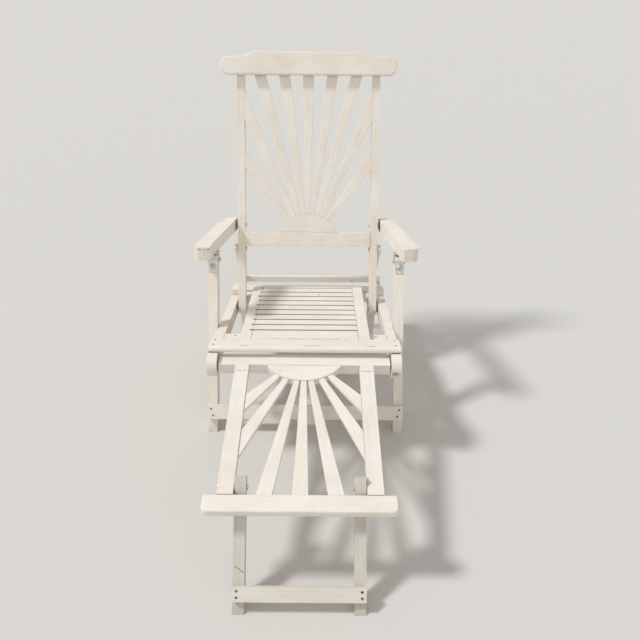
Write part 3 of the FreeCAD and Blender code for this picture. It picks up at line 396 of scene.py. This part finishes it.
# Back: two softwood uprights on pivots in the rails, with a lower rail that carries a half sun, and nine
# tapered rays. The crest rail over their tops is cut from a thicker board and rounded over all its edges.
RAY_EDGE_MM = 1.2
CREST_EDGE_MM = 4.0
for name in ("left_back_upright", "right_back_upright", "back_lower_rail", "back_sun_hub"):
    dress_board(name, plain_paint, SAWN_EDGE_MM)
for number in range(1, 10):
    dress_board("back_slat_%d" % number, plain_paint, RAY_EDGE_MM)
dress_board("crest_rail", plain_paint, CREST_EDGE_MM)

# Front legs and rear legs: pairs of sawn softwood boards, bolted to the outer sides of the rails in front
# and behind. Each pair has a stretcher screwed across it near its feet.
LEG_EDGE_MM = 1.6
for name in ("left_front_leg", "right_front_leg", "front_stretcher"):
    dress_board(name, plain_paint, LEG_EDGE_MM)
for name in ("left_rear_leg", "right_rear_leg", "rear_stretcher"):
    dress_board(name, plain_paint, LEG_EDGE_MM)

# Back prop: two thin softwood arms bolted to the uprights, with a bar across them that rests on the tails
# of the rails. A nail has left its hole in the bar.
PROP_EDGE_MM = 1.4
NAIL_HOLE = (Vector((0.158, 0.6385, 0.2074)), (0.0024, 0.003, 0.0024))
for name in ("left_prop_arm", "right_prop_arm"):
    dress_board(name, plain_paint, PROP_EDGE_MM)
dress_board("prop_bar", brushed_oil_paint("cream_oil_paint_on_bar", dark_marks=[NAIL_HOLE]), PROP_EDGE_MM)

# Armrests: thick shaped softwood boards, hinged on the front legs and bolted to the uprights. Three short
# checks have opened side by side across the front end of the left one.
ARM_EDGE_MM = 3.5
ARM_CHECKS_X = (-0.302, -0.289, -0.277)
ARM_CHECK_BACK = 0.004
ARM_CHECK_DOWN = 0.006
ARM_CHECK_REACH = (0.0055, 0.020, 0.0012)
low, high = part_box("left_armrest")
arm_checks = []
for across in ARM_CHECKS_X:
    arm_checks.append((Vector((across, low.y + ARM_CHECK_BACK, high.z - ARM_CHECK_DOWN)), ARM_CHECK_REACH))
arm_paint = brushed_oil_paint("cream_oil_paint_on_arms", dark_marks=arm_checks)
for name in ("left_armrest", "right_armrest"):
    dress_board(name, arm_paint, ARM_EDGE_MM)

# Footrest: a softwood beam pinned between the rail noses, two stiles, a foot rail with round corners, and
# the lower half sun with seven rays. The paint has checked across both stiles below the beam, and a dark
# line along the joint between the beam and the sun is painted shade.
BEAM_EDGE_MM = 2.0
STILE_EDGE_MM = 1.8
FOOT_RAIL_EDGE_MM = 4.0
STILE_CHECK_OUT = 0.0238
STILE_CHECK_DOWN = 0.0055
STILE_CHECK_REACH = (0.020, 0.0010, 0.006)
SUN_SEAM_SHADE_OUT = 0.0033
SUN_SEAM_SHADE_REACH = (0.105, 0.0022, 0.005)
beam_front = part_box("footrest_beam")[0].y
stile_checks = []
for name in ("footrest_left_stile", "footrest_right_stile"):
    low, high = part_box(name)
    place = Vector(((low.x + high.x) / 2, beam_front - STILE_CHECK_OUT, high.z - STILE_CHECK_DOWN))
    stile_checks.append((place, STILE_CHECK_REACH))
stile_paint = brushed_oil_paint("cream_oil_paint_on_stiles", dark_marks=stile_checks)
for name in ("footrest_left_stile", "footrest_right_stile"):
    dress_board(name, stile_paint, STILE_EDGE_MM)
# The beam gets only a little of the painted shade and dirt in its corners.
beam_paint = brushed_oil_paint("cream_oil_paint_on_beam", corner_shade_and_dirt=0.15)
dress_board("footrest_beam", beam_paint, BEAM_EDGE_MM)
dress_board("foot_rail", plain_paint, FOOT_RAIL_EDGE_MM)
low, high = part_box("footrest_sun_hub")
# A dark line along the seam between the beam and the sun is painted shade.
sun_seam_shade = (Vector((0, high.y - SUN_SEAM_SHADE_OUT, high.z)), SUN_SEAM_SHADE_REACH)
sun_paint = brushed_oil_paint("cream_oil_paint_on_footrest_sun", dark_marks=[sun_seam_shade])
dress_board("footrest_sun_hub", sun_paint, BEAM_EDGE_MM)
for number in range(1, 8):
    dress_board("footrest_slat_%d" % number, plain_paint, RAY_EDGE_MM)

# Footrest legs: two softwood legs bolted inside the stiles, and a stretcher screwed across their fronts.
# Their paint is the most worn, so grey wood shows through it, and a fine check slants across the left one.
LEG_CHECK_FROM = Vector((-0.1395, -0.6189, 0.0860))
LEG_CHECK_TO = Vector((-0.1235, -0.6250, 0.0757))
LEG_CHECK_REACH = (0.0022, 0.0160, 0.0008)
LEG_CHECK_STEPS = 7
slant = []
for step in range(LEG_CHECK_STEPS + 1):
    slant.append((LEG_CHECK_FROM.lerp(LEG_CHECK_TO, step / LEG_CHECK_STEPS), LEG_CHECK_REACH))
left_paint = brushed_oil_paint("worn_cream_oil_paint_on_left_leg", dark_marks=slant, greyed=0.8)
right_paint = brushed_oil_paint("worn_cream_oil_paint_on_right_leg", greyed=0.8)
stretcher_paint = brushed_oil_paint("worn_cream_oil_paint_on_stretcher", greyed=0.4)
dress_board("left_footrest_leg", left_paint, LEG_EDGE_MM)
dress_board("right_footrest_leg", right_paint, LEG_EDGE_MM)
dress_board("footrest_stretcher", stretcher_paint, LEG_EDGE_MM)

# Straps and brackets: galvanised steel strip, 2 to 3 mm thick. A strap is bolted to the front of each front
# leg's top, and a bent fork under each armrest holds that top. The zinc has gone dull and rusts a little.
STRIP_EDGE_MM = 0.4
ZINC_BRIGHT = "E6E7E5"
ZINC_DULL = "B2B3B0"
OLD_RUST = "5A4030"
# Grains of rust are under 1 mm in size, and are drawn at about 4 mm, so that they show.
SPANGLE_MM = 3
RUST_MM = 4.2
STEEL_CORNER_MM = 5
RUST_RELIEF_MM = 0.2


# Weathered zinc on steel: a mottled grey sheen to the eye, with matt brown where the steel rusts.
def weathered_zinc(name, rust_share):
    """Zinc-coated steel that was left out of doors. rust_share says how much of it has turned brown."""
    metal = bpy.data.materials.new(name)
    metal.use_nodes = True
    tree = metal.node_tree
    tree.nodes.clear()
    where = add(tree, "ShaderNodeTexCoord", give="Object")
    spangle = add(tree, "ShaderNodeTexVoronoi", give="Color", Vector=where, Scale=1000 / SPANGLE_MM)
    tone = add(tree, "ShaderNodeSeparateColor", Color=spangle)
    zinc = add(tree, "ShaderNodeMix", OVER, 2, _0=tone, _6=hex_colour(ZINC_DULL), _7=hex_colour(ZINC_BRIGHT))
    grains = add(tree, "ShaderNodeTexNoise", Vector=where, Scale=1000 / RUST_MM, Detail=4.0, Roughness=0.6)
    corner = add(tree, "ShaderNodeAmbientOcclusion", {"samples": 6}, "AO", Distance=STEEL_CORNER_MM / 1000)
    corner = add(tree, "ShaderNodeMapRange", EASED, Value=corner, From_Min=0.8, From_Max=0.4, To_Max=0.18)
    wear = add(tree, "ShaderNodeMath", {"operation": "ADD"}, _0=grains, _1=corner)
    edge = {"From_Min": 0.72 - 0.40 * rust_share, "From_Max": 0.81 - 0.40 * rust_share}
    rust = add(tree, "ShaderNodeMapRange", EASED, Value=wear, **edge)
    shine = add(tree, "ShaderNodeMapRange", EASED, Value=wear, To_Min=1.0, To_Max=0.1, **edge)
    rough = add(tree, "ShaderNodeMath", {"operation": "MULTIPLY_ADD"}, _0=tone, _1=0.3, _2=rust)
    rough = add(tree, "ShaderNodeMapRange", EASED, Value=rough, To_Min=0.40, To_Max=0.85)
    bumped = add(tree, "ShaderNodeBump", Height=wear, Strength=0.5, Distance=RUST_RELIEF_MM / 1000)
    colour = add(tree, "ShaderNodeMix", OVER, 2, _0=rust, _6=zinc, _7=hex_colour(OLD_RUST))
    shader = add(
        tree, "ShaderNodeBsdfPrincipled", Base_Color=colour, Metallic=shine, Roughness=rough, Normal=bumped
    )
    add(tree, "ShaderNodeOutputMaterial", Surface=shader)
    return metal


strip_zinc = weathered_zinc("dull_galvanised_strip", 0.22)
for name in ("leg_straps", "arm_brackets"):
    dress_board(name, strip_zinc, STRIP_EDGE_MM)

# Fastenings: domed coach bolts with hexagon nuts at the pivots, plain pins in the rail noses, washers
# between the boards, and slotted countersunk screws in the stretchers and the nosing. All are zinc-plated
# steel that has begun to brown.
TURN_STEPS = 36
HALF_STEPS = 12
# A half section gives (radius, distance from the board) in mm.
DOME_MM = ((8.5, 0), (8.5, 0.8), (8.1, 1.6), (7.0, 2.5), (5.2, 3.3), (2.8, 3.85), (0, 4.0))
CUP_WASHER_MM = ((8.5, 0), (8.5, 0.7), (7.7, 1.7), (6.5, 2.1), (5.5, 1.7), (4.9, 0.7), (4.7, 0.3), (0, 0.3))
CUP_HEAD_MM = ((3.4, 0.3), (3.4, 2.3), (2.9, 3.0), (1.6, 3.4), (0, 3.5))
NUT_RADII_MM = (6.2, 7.4)
NUT_FLATS = math.cos(math.pi / 6)
THREAD_RADIUS_MM = 3.9
WASHER_MM = 1.7
RIM_OUT_MM = 0.3
RIM_DEEP_MM = 0.25
PIN_RIM_MM = 0.4
SLOT_MM = 0.9
SLOT_DEPTH_MM = 0.8
HEAD_TAPER = 0.93
SLOT_TURNS = (0.9, 1.7)
# A plain CAD step is told by its radius, and a screw head by its thickness too.
BOLT_HEAD_FROM_MM = 8
SCREW_FROM_MM = 2.5
SCREW_HEAD_UNDER_MM = 3
BORE_FROM_MM = 0.5
SAME_MM = 0.2
STRAP_BOLT_FROM_MM = 10
PAINTED_WASHER_THIN_MM = 8
PAINTED_WASHER_WIDE_MM = 15


def turned(shape, base, way, half_section, flats=0.0):
    """Adds a piece turned about the line that starts at base and goes the way given.

    flats is the distance in mm from the axis to the six flats of a hexagon, where the piece has them.
    """
    across = way.orthogonal().normalized()
    upward = way.cross(across)
    rings = []
    for radius, along in half_section:
        on_axis = base + way * along / 1000
        if not radius:
            rings.append([shape.verts.new(on_axis)] * TURN_STEPS)
            continue
        ring = []
        for step in range(TURN_STEPS):
            angle = 2 * math.pi * step / TURN_STEPS
            reach = radius
            if flats:
                reach = min(radius, flats / math.cos(angle % (math.pi / 3) - math.pi / 6))
            spoke = across * math.cos(angle) + upward * math.sin(angle)
            ring.append(shape.verts.new(on_axis + spoke * reach / 1000))
        rings.append(ring)
    for low, high in zip(rings, rings[1:]):
        for step in range(TURN_STEPS):
            after = (step + 1) % TURN_STEPS
            corners = list(dict.fromkeys([low[step], low[after], high[after], high[step]]))
            if len(corners) > 2:
                shape.faces.new(corners)


def washers(shape, base, way, thick, radius, bore):
    """Adds a stack of washers with eased rims."""
    count = max(1, round(thick / WASHER_MM))
    for number in range(count):
        low = thick * number / count
        high = thick * (number + 1) / count
        under = [(bore, low), (radius - RIM_OUT_MM, low), (radius, low + RIM_DEEP_MM)]
        over = [(radius, high - RIM_DEEP_MM), (radius - RIM_OUT_MM, high), (bore, high), (bore, low)]
        turned(shape, base, way, under + over)


def hexagon_nut(shape, base, way, thick, radius):
    """Adds a nut with a chamfered face, and the rounded thread end that stands out of it."""
    face = 0.84 * thick
    sides = [(THREAD_RADIUS_MM, 0), (radius, 0), (radius, 0.74 * thick)]
    turned(shape, base, way, sides + [(0.88 * radius, face), (THREAD_RADIUS_MM, face)], radius * NUT_FLATS)
    thread = [(THREAD_RADIUS_MM, 0.5 * thick), (THREAD_RADIUS_MM, 0.9 * thick), (3.2, thick), (0, thick)]
    turned(shape, base, way, thread)


def domed_head(shape, base, way, thick, radius):
    """Adds a coach bolt's domed head, on as much of its shank as stands out of the board."""
    wide, tall = DOME_MM[0][0], DOME_MM[-1][1]
    shank = max(thick - tall, 0.0)
    squeeze = min(thick, tall) / tall
    dome = [(out * radius / wide, shank + along * squeeze) for out, along in DOME_MM]
    turned(shape, base, way, ([(radius, 0)] if shank else []) + dome)


def screw_head(shape, base, way, thick, radius, turn):
    """Adds a screw head, whose top is in two halves with the slot between them."""
    slot_floor = thick - SLOT_DEPTH_MM
    turned(shape, base, way, [(radius, 0), (radius, slot_floor), (0, slot_floor)])
    across = Matrix.Rotation(turn, 3, way) @ way.orthogonal().normalized()
    upward = way.cross(across)
    start = math.asin(SLOT_MM / 2 / radius)
    for side in (1, -1):
        edge = []
        for step in range(HALF_STEPS + 1):
            angle = start + (math.pi - 2 * start) * step / HALF_STEPS
            edge.append(across * radius * math.cos(angle) + upward * side * radius * math.sin(angle))
        floor, top = (
            [shape.verts.new(base + (corner * size + way * level) / 1000) for corner in edge]
            for level, size in ((slot_floor, 1.0), (thick, HEAD_TAPER))
        )
        shape.faces.new(top)
        for step in range(len(edge)):
            after = (step + 1) % len(edge)
            shape.faces.new((floor[step], floor[after], top[after], top[step]))


def plain_pin(shape, base, way, thick, radius, is_whole):
    """Adds a length of pin with eased rims, closed at both ends where nothing else is on it."""
    rim, upper = radius - PIN_RIM_MM, thick - PIN_RIM_MM
    section = [(rim, 0), (radius, PIN_RIM_MM), (radius, upper), (rim, thick)]
    turned(shape, base, way, [(0, 0)] + section + [(0, thick)] if is_whole else section)


def plain_steps(points, axis):
    """The steps of a plain turned solid along its axis: (start, end, radius, bore) in mm."""
    offsets = (points - points.mean(0)) * 1000
    along = offsets @ axis
    radii = np.linalg.norm(offsets - np.outer(along, axis), axis=1)
    levels = []
    for place in np.argsort(along):
        if not levels or along[place] - levels[-1][0] > SAME_MM:
            levels.append((along[place], []))
        levels[-1][1].append(radii[place])
    steps = []
    for (start, around), (end, beyond) in zip(levels, levels[1:]):
        shared = [radius for radius in around if min(abs(radius - other) for other in beyond) < SAME_MM]
        bore = min(shared) if max(shared) - min(shared) > BORE_FROM_MM else 0.0
        steps.append((float(start), float(end), float(max(shared)), float(bore)))
    return steps


def fastening(shape, points, axis, turn, on_strap):
    """Adds the real form of one plain CAD fastening: each of its steps becomes a head, a nut and so on."""
    centre = Vector(points.mean(0))
    steps = plain_steps(points, np.array(axis))
    for number, (start, end, radius, bore) in enumerate(steps):
        thick = end - start
        is_nut = NUT_RADII_MM[0] < radius < NUT_RADII_MM[1]
        outward = 1 if centre.x * axis.x >= 0 else -1
        if is_nut:
            outward = -outward
        if len(steps) > 1:
            outward = -1 if number == 0 else 1
        way = axis * outward
        base = centre + axis * (start if outward > 0 else end) / 1000
        if bore:
            washers(shape, base, way, thick, radius, bore)
        elif is_nut:
            hexagon_nut(shape, base, way, thick, radius)
        elif on_strap and radius > BOLT_HEAD_FROM_MM:
            turned(shape, base, way, CUP_WASHER_MM)
            turned(shape, base, way, CUP_HEAD_MM)
        elif radius > BOLT_HEAD_FROM_MM:
            domed_head(shape, base, way, thick, radius)
        elif radius > SCREW_FROM_MM and thick < SCREW_HEAD_UNDER_MM:
            screw_head(shape, base, way, thick, radius, turn)
        else:
            plain_pin(shape, base, way, thick, radius, len(steps) == 1)


def finish_metal(shape, name, body, *replaced):
    """Makes the object of a group of fastenings, which rides on its body."""
    bmesh.ops.recalc_face_normals(shape, faces=shape.faces)
    mesh = bpy.data.meshes.new(name)
    shape.to_mesh(mesh)
    shape.free()
    for finish in (bolt_zinc, screw_zinc, plain_paint, strip_zinc):
        mesh.materials.append(finish)
    made = bpy.data.objects.new(name, mesh)
    scene.collection.objects.link(made)
    mesh.shade_smooth()
    mesh.set_sharp_from_angle(angle=math.radians(35))
    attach(made, body)
    if replaced:
        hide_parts(*replaced)


BOLT, SCREW, PAINTED, GALVANISED = range(4)
bolt_zinc = weathered_zinc("browning_zinc_plated_steel", 0.32)
screw_zinc = weathered_zinc("rusty_zinc_plated_steel", 0.80)
leg_along = long_way([corner.co for corner in nodes["left_front_leg"].data.vertices])
if leg_along.z < 0:
    leg_along.negate()
leg_facing = Vector((1, 0, 0)).cross(leg_along).normalized()
GROUPS = (
    ("frame_fasteners", "seat_frame"),
    ("upright_bolts", "back"),
    ("front_leg_screws", "front_legs"),
    ("arm_bolts", "armrests"),
    ("rear_stretcher_screws", "rear_legs"),
    ("footrest_leg_bolts", "footrest"),
    ("footrest_stretcher_screws", "footrest_legs"),
)
for name, body in GROUPS:
    shape = bmesh.new()
    for number, points in enumerate(loose_solids(name)):
        across, deep, tall = np.ptp(points, axis=0) * 1000
        on_strap = name == "front_leg_screws" and across > STRAP_BOLT_FROM_MM
        is_crosswise = abs(deep - tall) < 0.6
        if name == "front_leg_screws":
            axis = leg_facing
        elif is_crosswise:
            axis = Vector((1, 0, 0))
        else:
            axis = long_way(points)
        made_before = len(shape.faces)
        fastening(shape, points, axis, SLOT_TURNS[0] + SLOT_TURNS[1] * number, on_strap)
        finish = GALVANISED if on_strap else BOLT if is_crosswise else SCREW
        # The washers between the uprights and the rails or armrests were painted with the chair.
        if is_crosswise and across < PAINTED_WASHER_THIN_MM and deep > PAINTED_WASHER_WIDE_MM:
            finish = PAINTED
        shape.faces.ensure_lookup_table()
        for face in shape.faces[made_before:]:
            face.material_index = finish
    finish_metal(shape, "visual_" + name, body, name)

# Bearer screws: two slotted steel screws that hold the front bearer, one beside the seat panel at each
# side, with their heads just above the wood.
BEARER_SCREW_OUT = 0.203
BEARER_SCREW_RADIUS_MM = 3.2
BEARER_SCREW_TALL_MM = 1.8
BEARER_SCREW_SUNK_MM = 1.5
top = max(nodes["front_bearer"].data.polygons, key=lambda face: round(face.normal.z * face.area, 6))
shape = bmesh.new()
for side in (-1, 1):
    spot = Vector((side * BEARER_SCREW_OUT, top.center.y, top.center.z))
    spot -= top.normal * BEARER_SCREW_SUNK_MM / 1000
    screw_head(shape, spot, top.normal, BEARER_SCREW_TALL_MM, BEARER_SCREW_RADIUS_MM, 0.6 * side)
for face in shape.faces:
    face.material_index = SCREW
finish_metal(shape, "bearer_screws", "seat_frame")

# Floor: plain pale paper with a matt surface, far larger than the view. It only keeps the chair's shadow.
PAPER_WHITE = "D3D1CD"
FLOOR_REACH = 60
paper = bpy.data.materials.new("pale_matt_paper")
paper.use_nodes = True
paper.node_tree.nodes.clear()
sheet = add(
    paper.node_tree, "ShaderNodeBsdfPrincipled", Base_Color=hex_colour(PAPER_WHITE), Roughness=0.95
)
add(paper.node_tree, "ShaderNodeOutputMaterial", Surface=sheet)
corners = [(x * FLOOR_REACH, y * FLOOR_REACH, 0) for x, y in ((-1, -1), (1, -1), (1, 1), (-1, 1))]
floor_mesh = bpy.data.meshes.new("floor")
floor_mesh.from_pydata(corners, [], [(0, 1, 2, 3)])
floor_mesh.materials.append(paper)
floor = bpy.data.objects.new("floor", floor_mesh)
scene.collection.objects.link(floor)

# Light: a soft lamp high on the left, even pale light from all round and a weak wide lamp in front. Tops
# come out nearly as bright as their paint and fronts a little darker. Past the floor the camera sees a plain
# pale backdrop, which metal mirrors too.
SURROUND = "F4F3F1"
SURROUND_LEVEL = 0.58
BACKDROP = "DEDCD8"
LAMPS = (("soft_lamp", 2.0, 9, (-0.60, -0.10, 0.80)), ("front_fill", 0.35, 60, (0.3, -0.9, 0.35)))
scene.world = bpy.data.worlds.new("studio")
scene.world.use_nodes = True
studio = scene.world.node_tree
studio.nodes.clear()
glow = add(studio, "ShaderNodeBackground", Color=hex_colour(SURROUND), Strength=SURROUND_LEVEL)
backdrop = add(studio, "ShaderNodeBackground", Color=hex_colour(BACKDROP), Strength=1.0)
shown = add(studio, "ShaderNodeLightPath", give="Is Camera Ray")
for kind in ("Is Glossy Ray", "Is Transmission Ray"):
    ray = add(studio, "ShaderNodeLightPath", give=kind)
    shown = add(studio, "ShaderNodeMath", {"operation": "MAXIMUM"}, _0=shown, _1=ray)
around = add(studio, "ShaderNodeMixShader", _0=shown, _1=glow, _2=backdrop)
add(studio, "ShaderNodeOutputWorld", Surface=around)
for name, level, spread, source in LAMPS:
    lamp = bpy.data.lights.new(name, "SUN")
    lamp.energy = level
    lamp.angle = math.radians(spread)
    holder = bpy.data.objects.new(name, lamp)
    holder.rotation_euler = Vector(source).to_track_quat("Z", "Y").to_euler()
    scene.collection.objects.link(holder)
scene.view_settings.view_transform = "Standard"

# Camera: it stands 1.3 m above the floor in front of the footrest, a little right of the middle, and looks
# down along the chair. The lens is given for a 36 mm wide sensor.
EYE = Vector((0.03747, -1.77366, 1.29897))
LOOKING_DOWN = math.radians(27.50)
TURNED_RIGHT = math.radians(0.13)
TIPPED_LEFT = math.radians(0.50)
LENS_MM = 40.5
SENSOR_MM = 36.0
camera = bpy.data.objects.new("camera", bpy.data.cameras.new("camera"))
camera.data.sensor_width = SENSOR_MM
camera.data.lens = LENS_MM
facing = Matrix.Rotation(-TURNED_RIGHT, 4, "Z") @ Matrix.Rotation(math.pi / 2 - LOOKING_DOWN, 4, "X")
camera.matrix_world = Matrix.Translation(EYE) @ facing @ Matrix.Rotation(TIPPED_LEFT, 4, "Z")
scene.collection.objects.link(camera)
scene.camera = camera
